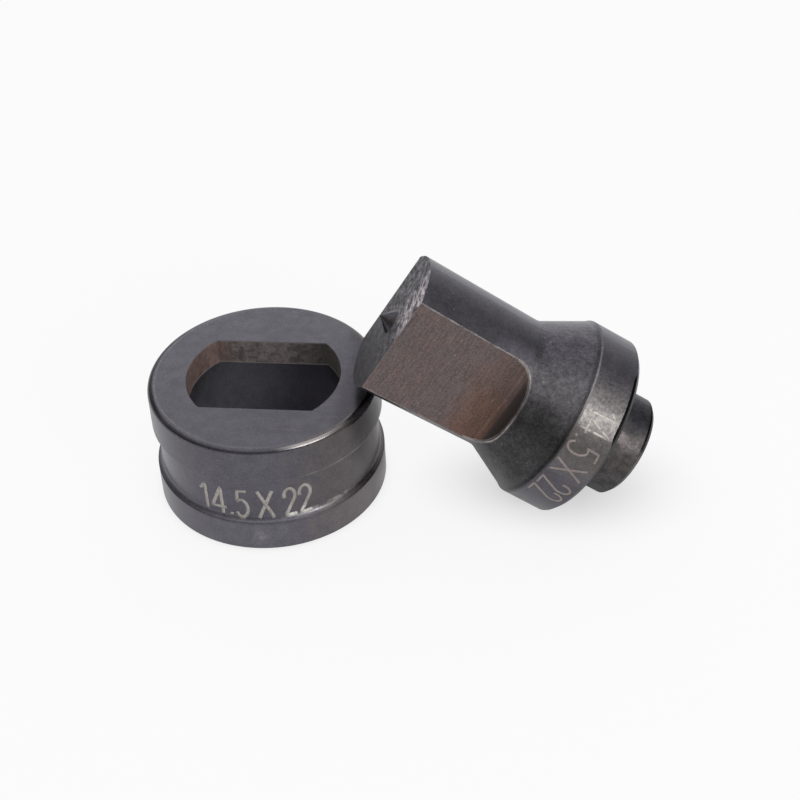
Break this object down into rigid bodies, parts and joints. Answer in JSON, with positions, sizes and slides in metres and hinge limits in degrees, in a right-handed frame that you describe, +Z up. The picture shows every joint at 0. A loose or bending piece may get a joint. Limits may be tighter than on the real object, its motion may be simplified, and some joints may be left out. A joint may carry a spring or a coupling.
{
  "type": "busbar punching die",
  "caption": "Punch and die pair for cutting a flattened round hole in busbar: grooved die ring with a through slot, and a flanged punch with flats, leaning on the die.",
  "frame": {"origin": "centre of the die's flat base, on the axis of the die", "axes": "+Z up along the die's axis to its cutting face, X along the slot's long side with the punch on the +X side, Y across the slot"},
  "size_m": [0.0779, 0.036, 0.0405],
  "materials": {
    "die_steel": "satin black oxide on hardened tool steel, ground top face",
    "punch_steel": "satin black oxide on hardened tool steel, fine brown-grey grain on the two flats"
  },
  "bodies": {
    "die": {"die": "die_steel"},
    "punch": {"punch": "punch_steel"}
  },
  "joints": [
    {"name": "punch_lift", "type": "slide", "parent": "die", "child": "punch", "axis": [0, 0, 1], "range_m": [0, 0.06]}
  ]
}
